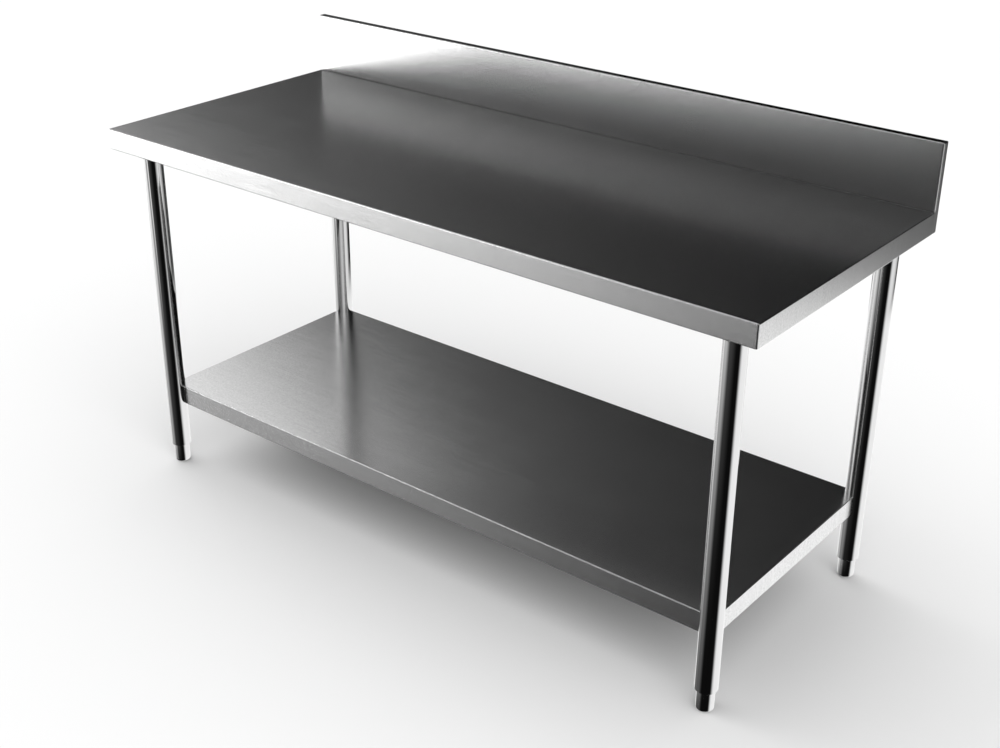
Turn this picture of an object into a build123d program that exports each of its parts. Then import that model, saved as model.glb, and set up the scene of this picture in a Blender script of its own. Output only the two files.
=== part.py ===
from build123d import *
from math import atan2, degrees
import os

# Stainless work table with a rear splashback and a fixed undershelf.
# Millimetres. X runs along the length, -Y is the working side, +Y the wall side, Z is up.
# The origin is on the floor under the middle of the overall box.

# Overall
LENGTH = 1800.0
DEPTH = 750.0
WORKTOP_HEIGHT = 918.0

# Worktop and splashback, folded from one sheet
SHEET = 1.2
BEND = 2.0
CORNER_BEND = 4.0
APRON_DROP = 50.0
HEM = 12.0
SPLASH_RISE = 150.0
SPLASH_THICKNESS = 22.5
COVE = 0.6
CAP_FIT = 0.1
CAP_FLANGE = 10.0

# Hat channels welded under the worktop and the shelf
CHANNEL_DEPTH = 25.0
CHANNEL_SHEET = 1.5
CHANNEL_FLANGE = 20.0
SOCKET_CHANNEL_WEB = 100.0
LONG_CHANNEL_WEB = 60.0
LONG_CHANNEL_OFFSET = 170.0
CHANNEL_END_GAP = 10.0

# Legs
TUBE_RADIUS = 25.0
TUBE_WALL = 1.2
TUBE_END_ROUND = 0.5
LEG_SIDE_INSET = 77.5
LEG_FRONT_INSET = 63.0
LEG_REAR_INSET = 54.0

# Leg sockets, each bolted under a cross channel
SOCKET_PLATE = 90.0
SOCKET_PLATE_THICKNESS = 4.0
SOCKET_PLATE_CORNER = 10.0
SOCKET_WALL = 4.0
SOCKET_DEPTH = 38.0
SOCKET_FIT = 0.05
SOCKET_HOLE_PITCH = 66.0
SOCKET_DRAIN_RADIUS = 10.0
SOCKET_LUG_RADIUS = 8.0
SOCKET_LUG_REACH = 35.0
RIB_THICKNESS = 4.0
RIB_REACH = 14.0
SET_SCREW_DROP = 20.0
SET_SCREW_LENGTH = 11.0
SET_SCREW_HEX = 4.0
SET_SCREW_HEX_DEPTH = 4.0

# Levelling feet
FOOT_SHOWS = 51.0
FOOT_RADIUS = 19.7
FOOT_WIDEST_LEVEL = 22.0
FOOT_TOP_RADIUS = 18.6
FOOT_BASE_RADIUS = 19.3
FOOT_IN_TUBE = 14.0
FOOT_TOP_ROUND = 2.0
FOOT_BOTTOM_ROUND = 4.0
FOOT_RAISE = 18.0
FOOT_LIFT_GAP = 7.0
GLIDE_RADIUS = 12.6
GLIDE_THICKNESS = 1.6
GLIDE_STANDS_PROUD = 0.5
GLIDE_GAP = 0.4
GLIDE_SIDE_GAP = 0.3
SPIGOT_RADIUS = 6.0
SPIGOT_TOP = 12.0
SPIGOT_HOLE_TOP = 14.0
STUD_RADIUS = 8.0
STUD_BOTTOM = 30.0
STUD_TOP = 125.0
INSERT_LENGTH = 40.0
INSERT_RIM = 2.8
INSERT_HUB_RADIUS = 13.0
INSERT_FLOOR = 8.0
RUNNING_FIT = 0.05

# Undershelf, folded from one sheet
SHELF_TOP = 226.0
SHELF_HALF_LENGTH = 828.0
SHELF_FRONT = -310.0
SHELF_REAR = 325.0
NOTCH_GAP = 0.4
SHELF_CHANNEL_LENGTH = 1560.0

# Shelf saddles: curved brackets in the shelf's corners, one bolt each into the leg
SADDLE_GAP = 1.0
SADDLE_WALL = 3.0
SADDLE_HEIGHT = 44.0
SADDLE_TOP_GAP = 1.0
SADDLE_FIT = 0.1
EAR_THICKNESS = 2.5
EAR_LENGTH = 26.0
PAD_RADIUS = 9.0
PAD_FACE = 33.0
SADDLE_BOLT_DROP = 24.0
RIVNUT_BODY_RADIUS = 5.5
RIVNUT_FLANGE_RADIUS = 7.0
RIVNUT_FLANGE = 0.8
RIVNUT_INNER_END = 12.0
RIVNUT_POCKET = 0.5
WASHER_RADIUS = 8.0
WASHER_THICKNESS = 1.6
M8_RADIUS = 4.0
M8_HEAD_FLATS = 13.0
M8_HEAD_HEIGHT = 5.3
M8_INNER_END = 14.0
M6_RADIUS = 3.0
M6_FLATS = 10.0
M6_HEAD_HEIGHT = 4.0
M6_NUT_HEIGHT = 5.0
M6_SPARE_THREAD = 1.5
HOLE_CLEARANCE = 0.3
FASTENER_FIT = 0.02

# Levels and planes worked out from the above
HALF_LENGTH = LENGTH / 2
FRONT = -DEPTH / 2
REAR = DEPTH / 2
APRON_BOTTOM = WORKTOP_HEIGHT - APRON_DROP
SPLASH_TOP = WORKTOP_HEIGHT + SPLASH_RISE
SPLASH_FRONT = REAR - SPLASH_THICKNESS
TOP_UNDERSIDE = WORKTOP_HEIGHT - SHEET
CAP_DEPTH = (SPLASH_FRONT + CORNER_BEND, REAR - CORNER_BEND)
CAP_TOP = SPLASH_TOP - BEND
CHANNEL_BOTTOM = TOP_UNDERSIDE - CHANNEL_DEPTH
LEG_X = HALF_LENGTH - LEG_SIDE_INSET
LEG_FRONT_Y = FRONT + LEG_FRONT_INSET
LEG_REAR_Y = REAR - LEG_REAR_INSET
SOCKET_PLATE_BOTTOM = CHANNEL_BOTTOM - SOCKET_PLATE_THICKNESS
SOCKET_BOTTOM = SOCKET_PLATE_BOTTOM - SOCKET_DEPTH
SOCKET_RADIUS = TUBE_RADIUS + SOCKET_FIT + SOCKET_WALL
TUBE_BORE_RADIUS = TUBE_RADIUS - TUBE_WALL
FOOT_TOP = FOOT_SHOWS + FOOT_IN_TUBE
FOOT_BOTTOM = GLIDE_STANDS_PROUD
INSERT_BOTTOM = FOOT_TOP + FOOT_RAISE + FOOT_LIFT_GAP
SHELF_UNDERSIDE = SHELF_TOP - SHEET
SHELF_BOTTOM = SHELF_TOP - APRON_DROP
SADDLE_INNER = TUBE_RADIUS + SADDLE_GAP
SADDLE_OUTER = SADDLE_INNER + SADDLE_WALL
SADDLE_TOP = SHELF_UNDERSIDE - SADDLE_TOP_GAP

# name: (x, y) of each leg's axis
LEGS = {
    "front_left": (-LEG_X, LEG_FRONT_Y),
    "front_right": (LEG_X, LEG_FRONT_Y),
    "rear_left": (-LEG_X, LEG_REAR_Y),
    "rear_right": (LEG_X, LEG_REAR_Y),
}


def block(x, y, z):
    """A box from pairs of lowest and highest x, y and z."""
    middle = Pos((x[0] + x[1]) / 2, (y[0] + y[1]) / 2, (z[0] + z[1]) / 2)
    return middle * Box(x[1] - x[0], y[1] - y[0], z[1] - z[0])


def rod(radius, low, high):
    """A cylinder on the Z axis between two heights."""
    return Pos(0, 0, low) * Cylinder(radius, high - low, align=(Align.CENTER, Align.CENTER, Align.MIN))


def hexagon(flats, low, high):
    """A hexagonal prism on the Z axis between two heights."""
    outline = RegularPolygon(flats / 2, 6, major_radius=False)
    return Pos(0, 0, low) * extrude(outline, high - low)


def inward(x, y, z):
    """A frame at a leg's axis, whose +Z points level towards the middle of the table."""
    turn = degrees(atan2(-y / abs(y), -x / abs(x)))
    return Pos(x, y, z) * Rot(0, 0, turn) * Rot(0, 90, 0)


def folded_pan(half_length, front, rear, bottom, top):
    """A tray of folded sheet, open side down: its top, four aprons and the hems turned in below them."""
    outside = block((-half_length, half_length), (front, rear), (bottom, top))
    outside = fillet(outside.edges().filter_by(Axis.Z), CORNER_BEND)
    outside = fillet(outside.faces().filter_by(Axis.Z).edges(), BEND)
    inside = block(
        (-half_length + SHEET, half_length - SHEET),
        (front + SHEET, rear - SHEET),
        (bottom + SHEET, top - SHEET),
    )
    inside = fillet(inside.edges().filter_by(Axis.Z), CORNER_BEND - SHEET)
    inside = fillet(inside.faces().filter_by(Axis.Z).edges(), BEND - SHEET)
    reach = SHEET + HEM
    opening = block(
        (-half_length + reach, half_length - reach),
        (front + reach, rear - reach),
        (bottom, bottom + SHEET),
    )
    return outside - inside - opening


def hat_channel(length, web):
    """A hat channel along X: its two flanges reach up to z = 0 and its web is at the bottom."""
    half = web / 2
    wide = half + CHANNEL_FLANGE
    sheet = CHANNEL_SHEET
    deep = -CHANNEL_DEPTH
    outline = [
        (-wide, 0),
        (-half + sheet, 0),
        (-half + sheet, deep + sheet),
        (half - sheet, deep + sheet),
        (half - sheet, 0),
        (wide, 0),
        (wide, -sheet),
        (half, -sheet),
        (half, deep),
        (-half, deep),
        (-half, -sheet),
        (-wide, -sheet),
    ]
    face = make_face(Polyline(*outline, close=True))
    return Plane.YZ * extrude(face, length / 2, both=True)


def worktop_skin():
    """Top, aprons, hems and splashback: one folded sheet, open at the splashback's ends."""
    length = (-HALF_LENGTH, HALF_LENGTH)
    inner_length = (-HALF_LENGTH + SHEET, HALF_LENGTH - SHEET)
    inner_depth = (SPLASH_FRONT + SHEET, REAR - SHEET)
    pan = folded_pan(HALF_LENGTH, FRONT, REAR, APRON_BOTTOM, WORKTOP_HEIGHT)
    splash = block(length, (SPLASH_FRONT, REAR), (WORKTOP_HEIGHT - BEND, SPLASH_TOP))
    splash = fillet(splash.edges().filter_by(Axis.Z), CORNER_BEND)
    splash = fillet(splash.edges().group_by(Axis.Z)[-1], BEND)
    hollow = block(inner_length, inner_depth, (WORKTOP_HEIGHT - BEND, SPLASH_TOP - SHEET))
    hollow = fillet(hollow.edges().filter_by(Axis.Z), CORNER_BEND - SHEET)
    hollow = fillet(hollow.edges().group_by(Axis.Z)[-1], BEND - SHEET)
    end_opening = block(length, CAP_DEPTH, (WORKTOP_HEIGHT, CAP_TOP))
    cove = block(
        (-HALF_LENGTH + CORNER_BEND, HALF_LENGTH - CORNER_BEND),
        (SPLASH_FRONT - COVE, SPLASH_FRONT + SHEET),
        (TOP_UNDERSIDE, WORKTOP_HEIGHT + COVE),
    )
    cove_roll = Pos(0, SPLASH_FRONT - COVE, WORKTOP_HEIGHT + COVE) * Rot(0, 90, 0) * Cylinder(COVE, LENGTH)
    return pan + splash + (cove - cove_roll) - hollow - end_opening


def splash_end_cap(side):
    """A shallow pan that closes one end of the splashback, flush with the side apron."""
    low_y = CAP_DEPTH[0] + CAP_FIT
    high_y = CAP_DEPTH[1] - CAP_FIT
    low_z = WORKTOP_HEIGHT + CAP_FIT
    high_z = CAP_TOP - CAP_FIT
    pan = block((-CAP_FLANGE, 0), (low_y, high_y), (low_z, high_z))
    inside = block(
        (-CAP_FLANGE, -SHEET),
        (low_y + SHEET, high_y - SHEET),
        (low_z, high_z - SHEET),
    )
    cap = Pos(HALF_LENGTH, 0, 0) * (pan - inside)
    return cap if side > 0 else mirror(cap, about=Plane.YZ)


def socket_channel(side):
    """The channel across the table that holds the two leg sockets of one end."""
    length = SPLASH_FRONT - FRONT - 2 * CHANNEL_END_GAP
    middle = (SPLASH_FRONT + FRONT) / 2
    channel = Rot(0, 0, 90) * hat_channel(length, SOCKET_CHANNEL_WEB)
    channel = Pos(side * LEG_X, middle, TOP_UNDERSIDE) * channel
    hole = rod(M6_RADIUS + HOLE_CLEARANCE, CHANNEL_BOTTOM - 1, CHANNEL_BOTTOM + CHANNEL_SHEET + 1)
    for leg_y in (LEG_FRONT_Y, LEG_REAR_Y):
        for dx, dy in bolt_corners():
            channel -= Pos(side * LEG_X + dx, leg_y + dy, 0) * hole
    return channel


def long_channel(y):
    """A channel along the underside of the worktop, between the two socket channels."""
    half_gap = LEG_X - SOCKET_CHANNEL_WEB / 2 - CHANNEL_FLANGE - 1
    return Pos(0, y, TOP_UNDERSIDE) * hat_channel(2 * half_gap, LONG_CHANNEL_WEB)


def bolt_corners():
    """Where a socket's four bolts stand around its leg."""
    half = SOCKET_HOLE_PITCH / 2
    return [(dx, dy) for dx in (-half, half) for dy in (-half, half)]


def leg_socket(x, y):
    """A cast cup that takes the top of a leg, with four ribs and a lug for the set screw."""
    half = SOCKET_PLATE / 2
    plate = block((-half, half), (-half, half), (SOCKET_PLATE_BOTTOM, CHANNEL_BOTTOM))
    plate = fillet(plate.edges().filter_by(Axis.Z), SOCKET_PLATE_CORNER)
    cup = rod(SOCKET_RADIUS, SOCKET_BOTTOM, SOCKET_PLATE_BOTTOM)
    cup = fillet(cup.edges().group_by(Axis.Z)[0], 1)
    socket = plate + cup
    rib_outline = Polyline(
        (0, 0),
        (SOCKET_RADIUS + RIB_REACH, 0),
        (SOCKET_RADIUS, -SOCKET_DEPTH * 0.7),
        (0, -SOCKET_DEPTH * 0.7),
        close=True,
    )
    rib = Rot(90, 0, 0) * extrude(make_face(rib_outline), RIB_THICKNESS / 2, both=True)
    for quarter in range(4):
        socket += Pos(0, 0, SOCKET_PLATE_BOTTOM) * Rot(0, 0, 90 * quarter) * rib
    socket = Pos(x, y, 0) * socket
    screw_z = SOCKET_PLATE_BOTTOM - SET_SCREW_DROP
    screw_axis = inward(x, y, screw_z)
    socket += screw_axis * rod(SOCKET_LUG_RADIUS, 0, SOCKET_LUG_REACH)
    socket -= Pos(x, y, 0) * rod(TUBE_RADIUS + SOCKET_FIT, SOCKET_BOTTOM - 1, SOCKET_PLATE_BOTTOM)
    socket -= Pos(x, y, 0) * rod(SOCKET_DRAIN_RADIUS, SOCKET_PLATE_BOTTOM - 1, CHANNEL_BOTTOM + 1)
    socket -= screw_axis * rod(M8_RADIUS + FASTENER_FIT, 0, SOCKET_LUG_REACH + 1)
    hole = rod(M6_RADIUS + HOLE_CLEARANCE, SOCKET_PLATE_BOTTOM - 1, CHANNEL_BOTTOM + 1)
    for dx, dy in bolt_corners():
        socket -= Pos(x + dx, y + dy, 0) * hole
    return socket


def hex_bolt(radius, flats, head, shank_end):
    """A hexagon bolt along Z: its head's face is at z = 0 and its shank reaches up."""
    return hexagon(flats, -head, 0) + rod(radius, 0, shank_end)


def socket_bolts():
    """The bolts that hold the four sockets under the channels."""
    reach = SOCKET_PLATE_THICKNESS + CHANNEL_SHEET + M6_NUT_HEIGHT + M6_SPARE_THREAD
    bolt = hex_bolt(M6_RADIUS, M6_FLATS, M6_HEAD_HEIGHT, reach)
    return Compound(
        [
            Pos(x + dx, y + dy, SOCKET_PLATE_BOTTOM) * bolt
            for x, y in LEGS.values()
            for dx, dy in bolt_corners()
        ]
    )


def socket_nuts():
    """The weld nuts inside the channels that those bolts screw into."""
    nut = hexagon(M6_FLATS, 0, M6_NUT_HEIGHT) - rod(M6_RADIUS + FASTENER_FIT, 0, M6_NUT_HEIGHT)
    level = CHANNEL_BOTTOM + CHANNEL_SHEET
    return Compound(
        [Pos(x + dx, y + dy, level) * nut for x, y in LEGS.values() for dx, dy in bolt_corners()]
    )


def socket_set_screws():
    """The grub screws that grip the leg tubes in their sockets."""
    start = TUBE_RADIUS
    end = start + SET_SCREW_LENGTH
    screw = rod(M8_RADIUS, start, end) - hexagon(SET_SCREW_HEX, end - SET_SCREW_HEX_DEPTH, end)
    level = SOCKET_PLATE_BOTTOM - SET_SCREW_DROP
    return Compound([inward(x, y, level) * screw for x, y in LEGS.values()])


def leg(x, y):
    """A round tube, open at both ends, with a hole for the shelf's threaded insert."""
    tube = rod(TUBE_RADIUS, FOOT_SHOWS, SOCKET_PLATE_BOTTOM)
    tube = fillet(tube.edges(), TUBE_END_ROUND)
    tube -= rod(TUBE_BORE_RADIUS, FOOT_SHOWS, SOCKET_PLATE_BOTTOM)
    hole = rod(RIVNUT_BODY_RADIUS + FASTENER_FIT, 0, TUBE_RADIUS + 1)
    return Pos(x, y, 0) * tube - inward(x, y, SHELF_TOP - SADDLE_BOLT_DROP) * hole


def foot_insert(x, y):
    """The threaded plug pressed into the bottom of a leg."""
    top = INSERT_BOTTOM + INSERT_LENGTH
    plug = rod(TUBE_BORE_RADIUS, INSERT_BOTTOM, top)
    pocket = rod(TUBE_BORE_RADIUS - INSERT_RIM, INSERT_BOTTOM + INSERT_FLOOR, top)
    pocket -= rod(INSERT_HUB_RADIUS, INSERT_BOTTOM + INSERT_FLOOR, top)
    plug -= pocket
    plug -= rod(STUD_RADIUS + RUNNING_FIT, INSERT_BOTTOM, top)
    return Pos(x, y, 0) * plug


def foot_barrel(x, y):
    """The polished bullet foot: it turns with its stud and slides up inside the tube."""
    side = ThreePointArc(
        (FOOT_TOP_RADIUS, FOOT_TOP),
        (FOOT_RADIUS, FOOT_WIDEST_LEVEL),
        (FOOT_BASE_RADIUS, FOOT_BOTTOM),
    )
    rest = Polyline(
        (FOOT_BASE_RADIUS, FOOT_BOTTOM),
        (0, FOOT_BOTTOM),
        (0, FOOT_TOP),
        (FOOT_TOP_RADIUS, FOOT_TOP),
    )
    barrel = revolve(Plane.XZ * make_face(side + rest), Axis.Z)
    barrel = fillet(barrel.edges().filter_by(GeomType.CIRCLE).group_by(Axis.Z)[-1], FOOT_TOP_ROUND)
    barrel = fillet(barrel.edges().filter_by(GeomType.CIRCLE).group_by(Axis.Z)[0], FOOT_BOTTOM_ROUND)
    barrel -= rod(STUD_RADIUS + FASTENER_FIT, STUD_BOTTOM, FOOT_TOP)
    barrel -= rod(SPIGOT_RADIUS + RUNNING_FIT, FOOT_BOTTOM, SPIGOT_HOLE_TOP)
    barrel -= rod(GLIDE_RADIUS + GLIDE_SIDE_GAP, FOOT_BOTTOM, GLIDE_THICKNESS + GLIDE_GAP)
    return Pos(x, y, 0) * barrel


def foot_stud(x, y):
    """The threaded stud fixed in the barrel."""
    stud = rod(STUD_RADIUS, STUD_BOTTOM, STUD_TOP)
    return Pos(x, y, 0) * chamfer(stud.edges(), 1)


def foot_glide(x, y):
    """The nylon disc the table stands on, with a spigot that the barrel turns on."""
    disc = rod(GLIDE_RADIUS, 0, GLIDE_THICKNESS)
    disc = fillet(disc.edges().group_by(Axis.Z)[0], GLIDE_THICKNESS / 4)
    return Pos(x, y, 0) * (disc + rod(SPIGOT_RADIUS, GLIDE_THICKNESS, SPIGOT_TOP))


def undershelf():
    """The shelf pan: a folded sheet with hems, notched around the four legs."""
    shelf = folded_pan(SHELF_HALF_LENGTH, SHELF_FRONT, SHELF_REAR, SHELF_BOTTOM, SHELF_TOP)
    for x, y in LEGS.values():
        shelf -= Pos(x, y, 0) * rod(TUBE_RADIUS + NOTCH_GAP, SHELF_BOTTOM - 1, SHELF_TOP + 1)
    return shelf


def shelf_channel():
    """The channel along the underside of the shelf."""
    middle = (SHELF_FRONT + SHELF_REAR) / 2
    return Pos(0, middle, SHELF_UNDERSIDE) * hat_channel(SHELF_CHANNEL_LENGTH, LONG_CHANNEL_WEB)


def shelf_saddle(x, y):
    """A curved bracket welded in one corner of the shelf, with an ear along each edge."""
    way_x = -x / abs(x)
    way_y = -y / abs(y)
    side_x = -way_x * (SHELF_HALF_LENGTH - SHEET - SADDLE_FIT)
    edge_y = SHELF_FRONT if way_y > 0 else SHELF_REAR
    side_y = edge_y + way_y * (SHEET + SADDLE_FIT)
    heights = (SADDLE_TOP - SADDLE_HEIGHT, SADDLE_TOP)
    far_x = x + way_x * (SADDLE_OUTER + EAR_LENGTH)
    far_y = y + way_y * (SADDLE_OUTER + EAR_LENGTH)
    corner = block(sorted((side_x, far_x)), sorted((side_y, far_y)), heights)
    bolt_axis = inward(x, y, SHELF_TOP - SADDLE_BOLT_DROP)
    saddle = Pos(x, y, 0) * rod(SADDLE_OUTER, *heights)
    saddle += bolt_axis * rod(PAD_RADIUS, 0, PAD_FACE)
    long_ear = block(sorted((x, far_x)), sorted((side_y, side_y + way_y * EAR_THICKNESS)), heights)
    short_ear = block(sorted((side_x, side_x + way_x * EAR_THICKNESS)), sorted((y, far_y)), heights)
    saddle = (saddle + long_ear + short_ear) & corner
    saddle -= Pos(x, y, 0) * rod(SADDLE_INNER, heights[0] - 1, heights[1] + 1)
    saddle -= bolt_axis * rod(RIVNUT_FLANGE_RADIUS + RIVNUT_POCKET, 0, SADDLE_INNER + RIVNUT_POCKET)
    return saddle - bolt_axis * rod(M8_RADIUS + HOLE_CLEARANCE, 0, PAD_FACE + 1)


def saddle_fasteners(piece):
    """One identical fastener at each shelf corner, made along the bolt's inward axis."""
    level = SHELF_TOP - SADDLE_BOLT_DROP
    return Compound([inward(x, y, level) * piece for x, y in LEGS.values()])


def shelf_bolts():
    """The bolts from the saddles into the legs."""
    start = PAD_FACE + WASHER_THICKNESS
    bolt = rod(M8_RADIUS, M8_INNER_END, start) + hexagon(M8_HEAD_FLATS, start, start + M8_HEAD_HEIGHT)
    return saddle_fasteners(bolt)


def shelf_washers():
    """The washers under those bolts' heads."""
    washer = rod(WASHER_RADIUS, PAD_FACE, PAD_FACE + WASHER_THICKNESS)
    return saddle_fasteners(washer - rod(M8_RADIUS + HOLE_CLEARANCE, PAD_FACE, PAD_FACE + WASHER_THICKNESS))


def leg_rivnuts():
    """The threaded inserts in the leg walls that those bolts screw into."""
    flange_end = TUBE_RADIUS + RIVNUT_FLANGE
    rivnut = rod(RIVNUT_BODY_RADIUS, RIVNUT_INNER_END, flange_end)
    rivnut += rod(RIVNUT_FLANGE_RADIUS, TUBE_RADIUS, flange_end)
    return saddle_fasteners(rivnut - rod(M8_RADIUS + FASTENER_FIT, RIVNUT_INNER_END, flange_end))


def all_parts():
    """Every sub-part by the name of its node."""
    parts = {
        "worktop_skin": worktop_skin(),
        "splash_end_cap_left": splash_end_cap(-1),
        "splash_end_cap_right": splash_end_cap(1),
        "socket_channel_left": socket_channel(-1),
        "socket_channel_right": socket_channel(1),
        "long_channel_front": long_channel(-LONG_CHANNEL_OFFSET),
        "long_channel_rear": long_channel(LONG_CHANNEL_OFFSET),
        "socket_bolts": socket_bolts(),
        "socket_nuts": socket_nuts(),
        "socket_set_screws": socket_set_screws(),
        "undershelf": undershelf(),
        "shelf_channel": shelf_channel(),
        "shelf_bolts": shelf_bolts(),
        "shelf_washers": shelf_washers(),
        "leg_rivnuts": leg_rivnuts(),
    }
    each_corner = {
        "leg_socket": leg_socket,
        "leg": leg,
        "foot_insert": foot_insert,
        "foot_stud": foot_stud,
        "foot_barrel": foot_barrel,
        "foot_glide": foot_glide,
        "shelf_saddle": shelf_saddle,
    }
    for name, make in each_corner.items():
        for corner, (x, y) in LEGS.items():
            parts[f"{name}_{corner}"] = make(x, y)
    return parts


os.makedirs("parts", exist_ok=True)
for node, shape in all_parts().items():
    export_step(shape, f"parts/{node}.step")
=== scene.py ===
import math

import bmesh
import bpy
from mathutils import Matrix, Vector


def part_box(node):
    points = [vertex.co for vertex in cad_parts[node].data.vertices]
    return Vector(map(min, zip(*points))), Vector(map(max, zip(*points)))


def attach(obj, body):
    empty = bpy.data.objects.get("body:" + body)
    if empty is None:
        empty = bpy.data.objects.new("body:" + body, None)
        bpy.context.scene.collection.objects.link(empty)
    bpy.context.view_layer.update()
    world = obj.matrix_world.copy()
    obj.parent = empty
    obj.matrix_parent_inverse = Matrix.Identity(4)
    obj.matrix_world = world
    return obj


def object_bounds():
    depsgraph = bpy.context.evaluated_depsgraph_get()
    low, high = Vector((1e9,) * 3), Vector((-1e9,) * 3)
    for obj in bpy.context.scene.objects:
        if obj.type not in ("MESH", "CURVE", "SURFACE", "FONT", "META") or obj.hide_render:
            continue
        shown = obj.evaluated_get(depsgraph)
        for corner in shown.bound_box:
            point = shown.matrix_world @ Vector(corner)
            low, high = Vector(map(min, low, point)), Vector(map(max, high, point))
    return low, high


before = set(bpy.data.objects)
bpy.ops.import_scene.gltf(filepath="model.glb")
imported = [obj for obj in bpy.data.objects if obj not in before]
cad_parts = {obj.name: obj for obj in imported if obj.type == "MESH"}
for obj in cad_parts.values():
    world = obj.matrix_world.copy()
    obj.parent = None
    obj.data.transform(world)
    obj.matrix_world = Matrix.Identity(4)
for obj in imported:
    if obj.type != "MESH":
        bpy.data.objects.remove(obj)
cad_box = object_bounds()

# Metres and degrees, except the lens and its sensor, which are in millimetres.
# X runs along the table, -Y is its working side, Z is up.

# Camera: seen from above, off the front right corner
CAMERA_PLACE = (1.9968, -2.4688, 1.9720)
CAMERA_TURN = 38.64
CAMERA_TILT = 26.43
CAMERA_ROLL = 0.36
SENSOR_WIDTH = 36.0
LENS = 52.70

CLIP_END = 200.0

FLOOR_REACH = 40.0
FLOOR_GAP = 0.0005
FLOOR_TONE = (0.8, 0.8, 0.8, 1)

# Even light in the room and in the mirrored surroundings
ROOM_LIGHT = 0.736
MIRRORED_LIGHT = 0.005

# Sheet: the splash's front face by depth and height, and the corner at its foot by height
REAR = cad_box[1].y
SPLASH_TOP = cad_box[1].z
SPLASH_DEPTH = [REAR - inset for inset in (0.0250, 0.0238, 0.0150, 0.0130)]
SPLASH_HEIGHT = [SPLASH_TOP - drop for drop in (0.149, 0.146, 0.003, 0.002)]
JOINT_HEIGHT = [SPLASH_TOP - drop for drop in (0.1501, 0.1499, 0.1490, 0.1475)]
SPLASH_RISE = [SPLASH_TOP - drop for drop in (0.143, 0.048)]
# Sheet: finish
SHEET_TONE = 0.72
SHEET_ROUGHNESS = 0.2
SPLASH_ROUGHER = 0.055
SPLASH_TOP_ROUGHER = 0.045
BEND_ROUGHER = 0.1
BEND_TONE = -0.1
JOINT_ROUGHER = 0.25
# painted shade: the sheet's tone is darkened in the corner at the splash's foot
JOINT_PAINTED_SHADE = -0.65
# Where the roughness crossed about 0.274, a torn line was rendered
SHEET_ROUGHEST = 0.27
WAVE_DEPTH = 0.00003
LINE_DEPTH = 0.000003


class Nodes:
    """A short way to add and link the nodes of one node tree."""

    def __init__(self, tree):
        self.tree = tree
        tree.nodes.clear()

    def add(self, kind, inputs=None, **settings):
        node = self.tree.nodes.new(kind)
        for name, value in settings.items():
            setattr(node, name, value)
        for name, value in (inputs or {}).items():
            socket = node.inputs[name]
            if isinstance(value, bpy.types.NodeSocket):
                self.tree.links.new(value, socket)
            else:
                socket.default_value = value
        return node

    def math(self, operation, first, second=0.0, third=0.0):
        node = self.add("ShaderNodeMath", {0: first, 1: second, 2: third}, operation=operation)
        return node.outputs[0]

    def times(self, first, *others):
        for other in others:
            first = self.math("MULTIPLY", first, other)
        return first

    def plus(self, first, *others):
        for other in others:
            first = self.math("ADD", first, other)
        return first

    def mix(self, factor, first, second):
        node = self.add("ShaderNodeMix", {"Factor": factor, "A": first, "B": second}, data_type="FLOAT")
        return node.outputs[0]

    def smooth(self, value, low, high):
        """0 below low, 1 above high and a smooth step between, or falling if low > high."""
        start, end = (0.0, 1.0) if low < high else (1.0, 0.0)
        node = self.add(
            "ShaderNodeMapRange",
            {
                "Value": value,
                "From Min": min(low, high),
                "From Max": max(low, high),
                "To Min": start,
                "To Max": end,
            },
            interpolation_type="SMOOTHSTEP",
        )
        return node.outputs[0]

    def between(self, value, start, full, still, end):
        """0 outside start and end, 1 from full to still, and a smooth step on either side."""
        return self.times(self.smooth(value, start, full), self.smooth(value, end, still))


# Camera

def camera():
    """The one camera, from its turn to the left of +Y, its downward tilt and its small roll."""
    turn = math.radians(CAMERA_TURN)
    tilt = math.radians(CAMERA_TILT)
    roll = math.radians(CAMERA_ROLL)
    forward = Vector((-math.sin(turn) * math.cos(tilt), math.cos(turn) * math.cos(tilt), -math.sin(tilt)))
    level = Vector((math.cos(turn), math.sin(turn), 0.0))
    lift = level.cross(forward)
    right = level * math.cos(roll) + lift * math.sin(roll)
    up = lift * math.cos(roll) - level * math.sin(roll)
    data = bpy.data.cameras.new("camera")
    data.sensor_width = SENSOR_WIDTH
    data.lens = LENS
    data.clip_end = CLIP_END
    made = bpy.data.objects.new("camera", data)
    bpy.context.scene.collection.objects.link(made)
    axes = Matrix((right, up, -forward)).transposed().to_4x4()
    made.matrix_world = Matrix.Translation(CAMERA_PLACE) @ axes
    bpy.context.scene.camera = made


# Light: matt surfaces see a pale room, reflections see soft boxes, and the camera sees plain white

def heading(azimuth, elevation):
    """The unit vector towards an azimuth, from +Y towards +X, and an elevation."""
    a = math.radians(azimuth)
    e = math.radians(elevation)
    return (math.sin(a) * math.cos(e), math.cos(a) * math.cos(e), math.sin(e))


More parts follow.
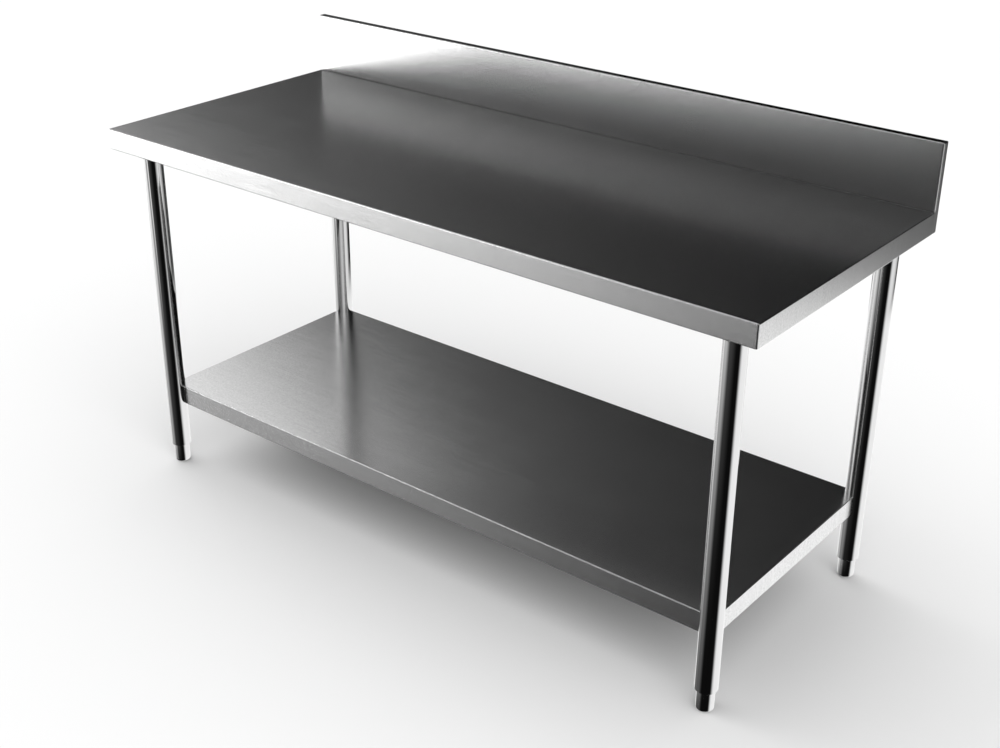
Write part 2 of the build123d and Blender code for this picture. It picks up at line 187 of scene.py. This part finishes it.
def studio():
    world = bpy.data.worlds.new("studio")
    world.use_nodes = True
    world.cycles.sampling_method = "NONE"
    bpy.context.scene.world = world
    n = Nodes(world.node_tree)
    way = n.add("ShaderNodeTexCoord").outputs["Generated"]
    parts = n.add("ShaderNodeSeparateXYZ", {0: way})
    x, y, z = (parts.outputs[i] for i in range(3))
    elevation = n.math("DEGREES", n.math("ARCSINE", z))
    azimuth = n.math("DEGREES", n.math("ARCTAN2", x, y))

    def facing(turn, lift):
        node = n.add("ShaderNodeVectorMath", {0: way, 1: heading(turn, lift)}, operation="DOT_PRODUCT")
        return node.outputs["Value"]

    def away_from(turn, lift):
        return n.math("DEGREES", n.math("ARCCOSINE", facing(turn, lift)))

    # mirrored: the large soft box, high on the left, and the haze around it
    from_box = away_from(-92, 43)
    box = n.times(n.smooth(from_box, 43, 34), n.plus(0.7, n.times(n.smooth(from_box, 8, 33), 0.6)))
    haze = n.times(n.smooth(from_box, 62, 40), 0.04)
    # a wide pale band low on the left, that fades below the horizon
    low = n.math("MINIMUM", n.math("ADD", elevation, 17.0), 0.0)
    fade = n.times(n.math("POWER", 2.0, n.math("DIVIDE", low, 6.5)), n.smooth(elevation, -60, -30))
    band_ends = n.between(azimuth, -166, -128, -62, -48)
    band = n.times(fade, band_ends, n.smooth(elevation, 6, -4), 1.25)
    # its streak and its bright middle
    streak = n.between(azimuth, -136, -126, -120, -110)
    streak = n.times(streak, n.between(elevation, -27, -19, -14, -6), 0.22)
    middle = n.times(n.between(azimuth, -112, -98, -72, -60), n.between(elevation, -40, -28, -14, 0), 0.45)
    # a long lamp just under the horizon, with a weaker one beside it and a faint trail of light
    lamp = n.times(n.between(azimuth, -160, -136, -108, -90), n.between(elevation, -14, -7, -4, 1), 7.3)
    side_lamp = n.between(azimuth, -177, -170, -164, -156)
    side_lamp = n.times(side_lamp, n.between(elevation, -25, -18, -14, -8), 0.9)
    trail = n.times(n.smooth(away_from(-160, -12), 62, 14), n.between(elevation, -38, -18, -12, -4), 0.075)
    # the pale floor behind and on the right
    ground = n.times(n.smooth(elevation, -21.6, -23.6), n.between(azimuth, -75, -50, 76, 112), 1.12)
    # a soft box low on the right
    low_box = n.times(n.smooth(elevation, -6, -20), n.between(azimuth, 12, 62, 84, 110), 0.95)
    right = n.math("MAXIMUM", ground, low_box)
    # a softer box high on the right, and a wide low one there
    back_box = n.times(n.smooth(away_from(118, 42), 42, 20), 0.65)
    side_box = n.times(n.between(azimuth, 56, 80, 124, 150), n.between(elevation, -13, -5, 8, 24), 0.6)
    # a dim one on the working side, for the table seen from behind
    front_box = n.times(n.smooth(away_from(150, 28), 48, 14), 0.32)
    mirrored = n.plus(box, haze, band, streak, middle, lamp, side_lamp, trail)
    mirrored = n.plus(mirrored, right, back_box, side_box, front_box, MIRRORED_LIGHT)
    # unmirrored: an even white room with two wide lamps
    left_lamp = n.times(n.math("POWER", n.math("MAXIMUM", facing(-90, 40), 0.0), 6.0), 1.95)
    right_lamp = n.times(n.math("POWER", n.math("MAXIMUM", facing(120, 30), 0.0), 6.0), 1.96)
    room = n.plus(left_lamp, right_lamp, ROOM_LIGHT)
    path = n.add("ShaderNodeLightPath").outputs
    # the floor isn't lit by way of the metal
    mirrored = n.times(mirrored, n.math("LESS_THAN", path["Diffuse Depth"], 0.5))
    seen = n.mix(path["Is Glossy Ray"], room, mirrored)
    shown = n.mix(path["Is Camera Ray"], seen, 1.0)
    background = n.add("ShaderNodeBackground", {"Color": (1, 1, 1, 1), "Strength": shown})
    n.add("ShaderNodeOutputWorld", {"Surface": background.outputs[0]})


def floor():
    mesh = bpy.data.meshes.new("floor")
    r = FLOOR_REACH
    mesh.from_pydata([(-r, -r, 0), (r, -r, 0), (r, r, 0), (-r, r, 0)], [], [(0, 1, 2, 3)])
    made = bpy.data.objects.new("floor", mesh)
    bpy.context.scene.collection.objects.link(made)
    made.location.z = -FLOOR_GAP
    made.visible_glossy = False
    material = bpy.data.materials.new("floor")
    material.use_nodes = True
    n = Nodes(material.node_tree)
    paint = n.add("ShaderNodeBsdfDiffuse", {"Color": FLOOR_TONE})
    n.add("ShaderNodeOutputMaterial", {"Surface": paint.outputs[0]})
    mesh.materials.append(material)


# Materials of the table, built from noise, places and normals in the object's own coordinates

def surface(name, metallic=1.0):
    """A new material with its nodes, its shader and the place on the object."""
    material = bpy.data.materials.new(name)
    material.use_nodes = True
    n = Nodes(material.node_tree)
    shader = n.add("ShaderNodeBsdfPrincipled", {"Metallic": metallic})
    n.add("ShaderNodeOutputMaterial", {"Surface": shader.outputs[0]})
    place = n.add("ShaderNodeTexCoord").outputs["Object"]
    return material, n, shader, place


def noise(n, place, scales, detail=2.0, shift=0.0):
    """Noise from 0 to 1 with its own scale, in features a metre, along each axis."""
    node = n.add("ShaderNodeMapping", {"Vector": place, "Scale": scales, "Location": (shift, shift, shift)})
    node = n.add("ShaderNodeTexNoise", {"Vector": node.outputs[0], "Scale": 1.0, "Detail": detail})
    return node.outputs["Fac"]


def vary(n, middle, *parts):
    """A middle value with each (noise, span) added around it."""
    for value, span in parts:
        middle = n.math("MULTIPLY_ADD", n.math("SUBTRACT", value, 0.5), span, middle)
    return middle


def relief(n, shader, *heights):
    """Bump from each (height from 0 to 1, depth in metres), one over the other."""
    normal = None
    for height, depth in heights:
        inputs = {"Height": height, "Distance": depth, "Strength": 1.0}
        if normal is not None:
            inputs["Normal"] = normal
        normal = n.add("ShaderNodeBump", inputs).outputs[0]
    n.tree.links.new(normal, shader.inputs["Normal"])


def set_look(n, shader, tone, roughness):
    n.tree.links.new(tone, shader.inputs["Base Color"])
    n.tree.links.new(roughness, shader.inputs["Roughness"])


def bends(n, normal):
    """1 on the rounded bends of a sheet with its faces square to the axes, and 1 on its end faces."""
    parts = n.add("ShaderNodeSeparateXYZ", {0: normal})
    x, y, z = (n.math("ABSOLUTE", parts.outputs[i]) for i in range(3))
    flat = n.math("MAXIMUM", x, n.math("MAXIMUM", y, z))
    return n.smooth(flat, 0.998, 0.93), n.smooth(x, 0.6, 0.8)


def satin_sheet():
    """Brushed sheet: the grain runs along the table, and down its two folded ends."""
    material, n, shader, place = surface("satin_sheet")
    bend, on_end = bends(n, n.add("ShaderNodeTexCoord").outputs["Normal"])

    def grain(along, across, detail, shift):
        flat = noise(n, place, (along, across, across), detail, shift)
        end = noise(n, place, (across, across, along), detail, shift)
        return n.mix(on_end, flat, end)

    fine = grain(22, 1500, 2.0, 3.0)
    lines = grain(7, 380, 3.0, 7.0)
    streaks = grain(2.2, 60, 2.0, 11.0)
    cloud = noise(n, place, (11, 11, 11), 4.0, 5.0)
    mottle = noise(n, place, (260, 260, 260), 3.0, 1.0)
    waves = noise(n, place, (2.2, 2.8, 2.8), 0.0, 9.0)
    ways = n.add("ShaderNodeSeparateXYZ", {0: place}).outputs
    height = ways["Z"]
    splash_face = n.between(ways["Y"], *SPLASH_DEPTH)
    joint = n.times(n.between(height, *JOINT_HEIGHT), splash_face)
    on_splash = n.times(n.between(height, *SPLASH_HEIGHT), splash_face)
    rise = n.times(n.smooth(height, *SPLASH_RISE), SPLASH_TOP_ROUGHER)
    splash = n.times(on_splash, n.plus(SPLASH_ROUGHER, rise))
    tone = vary(n, SHEET_TONE, (fine, 0.06), (lines, 0.1), (mottle, 0.3), (streaks, 0.05), (cloud, 0.05))
    tone = n.math("MULTIPLY_ADD", bend, BEND_TONE, tone)
    # painted shade: darker tone in the corner where the splash meets the worktop
    tone = n.math("MULTIPLY_ADD", n.times(joint, tone), JOINT_PAINTED_SHADE, tone)
    rough = vary(
        n, SHEET_ROUGHNESS, (fine, 0.02), (lines, 0.02), (mottle, 0.016), (streaks, 0.012), (cloud, 0.016)
    )
    rough = n.plus(rough, n.times(bend, BEND_ROUGHER), n.times(joint, JOINT_ROUGHER), splash)
    set_look(n, shader, tone, n.math("MINIMUM", rough, SHEET_ROUGHEST))
    # the splash's front face has no relief
    level = n.math("SUBTRACT", 1.0, splash_face)
    relief(n, shader, (n.times(waves, level), WAVE_DEPTH), (n.times(lines, level), LINE_DEPTH))
    return material


def polished_tube():
    """Drawn and polished tube: faint lines run down it, with scuffs near the floor."""
    material, n, shader, place = surface("polished_tube")
    lines = noise(n, place, (420, 420, 1.6), 3.0, 2.0)
    fine = noise(n, place, (1600, 1600, 12), 2.0, 4.0)
    rings = noise(n, place, (8, 8, 900), 2.0, 6.0)
    cloud = noise(n, place, (18, 18, 9), 4.0, 8.0)
    height = n.add("ShaderNodeSeparateXYZ", {0: place}).outputs[2]
    scuffs = n.times(n.smooth(height, 0.22, 0.05), n.smooth(cloud, 0.5, 0.75), 0.08)
    tone = vary(n, 0.72, (lines, 0.06), (fine, 0.03), (cloud, 0.03))
    rough = vary(n, 0.032, (lines, 0.02), (rings, 0.01), (cloud, 0.02))
    set_look(n, shader, tone, n.math("ADD", rough, scuffs))
    relief(n, shader, (lines, 0.000004), (rings, 0.0000015))
    return material


def polished_foot():
    """Turned and polished foot with fine rings, a little worn near its lower edge."""
    material, n, shader, place = surface("polished_foot")
    rings = noise(n, place, (20, 20, 2600), 2.0, 3.0)
    cloud = noise(n, place, (70, 70, 70), 4.0, 1.0)
    height = n.add("ShaderNodeSeparateXYZ", {0: place}).outputs[2]
    wear = n.times(n.smooth(height, 0.012, 0.004), n.smooth(cloud, 0.4, 0.7), 0.12)
    tone = vary(n, 0.72, (rings, 0.04), (cloud, 0.05))
    rough = vary(n, 0.06, (rings, 0.03), (cloud, 0.04))
    set_look(n, shader, tone, n.math("ADD", rough, wear))
    relief(n, shader, (rings, 0.000003))
    return material


def dull_metal(name, tone, roughness, grain, pits, depth):
    """Plain unpolished metal: clouds of tone, and grain or cast pits of a given size."""
    material, n, shader, place = surface(name)
    cloud = noise(n, place, (16, 16, 16), 4.0, 2.0)
    speckle = noise(n, place, grain, 2.0, 5.0)
    marks = noise(n, place, (pits, pits, pits), 3.0, 7.0)
    tone = vary(n, tone, (cloud, 0.16), (speckle, 0.12), (marks, 0.05))
    set_look(n, shader, tone, vary(n, roughness, (cloud, 0.12), (speckle, 0.1)))
    relief(n, shader, (marks, depth), (speckle, depth * 0.1))
    return material


def nylon():
    material, n, shader, place = surface("nylon", 0.0)
    cloud = noise(n, place, (120, 120, 120), 3.0, 4.0)
    skin = noise(n, place, (1800, 1800, 1800), 2.0, 6.0)
    set_look(n, shader, vary(n, 0.022, (cloud, 0.012), (skin, 0.006)), vary(n, 0.45, (cloud, 0.15)))
    relief(n, shader, (skin, 0.00003))
    return material


def looks():
    sheet = satin_sheet()
    tube = polished_tube()
    foot = polished_foot()
    channel = dull_metal("channel_stainless", 0.52, 0.36, (18, 700, 700), 260, 0.00002)
    cast = dull_metal("cast_aluminium", 0.46, 0.5, (900, 900, 900), 420, 0.00012)
    zinc = dull_metal("plated_fastener", 0.58, 0.28, (1500, 1500, 120), 500, 0.00001)
    plastic = nylon()
    # the longest start that fits a node's name gives its material
    by_start = {
        "worktop": sheet,
        "splash": sheet,
        "undershelf": sheet,
        "leg": tube,
        "leg_socket": cast,
        "leg_rivnuts": zinc,
        "foot_barrel": foot,
        "foot_glide": plastic,
        "foot_insert": cast,
        "foot_stud": zinc,
        "socket": zinc,
        "socket_channel": channel,
        "long_channel": channel,
        "shelf": zinc,
        "shelf_channel": channel,
        "shelf_saddle": channel,
    }
    for name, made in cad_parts.items():
        start = max((k for k in by_start if name.startswith(k)), key=len)
        made.data.materials.clear()
        made.data.materials.append(by_start[start])


# Stitch welds that hold the channels under the worktop and the shelf

BEAD_LENGTH = 0.032
BEAD_RADIUS = 0.0029
BEAD_PITCH = 0.22
BEAD_STATIONS = 31
BEAD_SIDES = 8
RIPPLE_DEPTH = 0.09
RIPPLE_STEPS = 3
END_SWELL = 0.3
END_SLOPE = 6


def bead(bm, seam, middle):
    """One rippled bead hung under a sheet; a seam is (axis, place across it, level)."""
    axis, side, level = seam
    rings = []
    for i in range(BEAD_STATIONS):
        t = i / (BEAD_STATIONS - 1)
        swell = min(1.0, END_SLOPE * t + END_SWELL, END_SLOPE * (1 - t) + END_SWELL)
        radius = BEAD_RADIUS * swell * (1 - RIPPLE_DEPTH * (i % RIPPLE_STEPS))
        along = middle + BEAD_LENGTH * (t - 0.5)
        ring = []
        for j in range(BEAD_SIDES + 1):
            turn = math.pi * j / BEAD_SIDES
            across = side + radius * math.cos(turn)
            place = (along, across) if axis == "x" else (across, along)
            ring.append(bm.verts.new((*place, level - radius * math.sin(turn))))
        rings.append(ring)
    for one, two in zip(rings, rings[1:]):
        for j in range(BEAD_SIDES + 1):
            k = (j + 1) % (BEAD_SIDES + 1)
            bm.faces.new((one[j], one[k], two[k], two[j]))
    bm.faces.new(rings[0])
    bm.faces.new(rings[-1])


def weld_beads(name, channels, material):
    """Beads down both long edges of each channel, as one piece."""
    bm = bmesh.new()
    for channel in channels:
        low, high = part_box(channel)
        axis, other = (0, 1) if high.x - low.x > high.y - low.y else (1, 0)
        count = round((high[axis] - low[axis]) / BEAD_PITCH)
        step = (high[axis] - low[axis]) / count
        for side in (low[other], high[other]):
            for k in range(count):
                bead(bm, ("xy"[axis], side, high.z), low[axis] + (k + 0.5) * step)
    bmesh.ops.recalc_face_normals(bm, faces=bm.faces)
    mesh = bpy.data.meshes.new(name)
    bm.to_mesh(mesh)
    bm.free()
    for face in mesh.polygons:
        face.use_smooth = True
    mesh.materials.append(material)
    made = bpy.data.objects.new(name, mesh)
    bpy.context.scene.collection.objects.link(made)
    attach(made, "table")


camera()
studio()
floor()
looks()
weld = dull_metal("weld_metal", 0.42, 0.34, (900, 900, 900), 240, 0.00003)
top_channels = [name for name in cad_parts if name.startswith(("socket_channel", "long_channel"))]
weld_beads("weld_beads_top", top_channels, weld)
weld_beads("weld_beads_shelf", ["shelf_channel"], weld)

bpy.context.scene.view_settings.view_transform = "Standard"
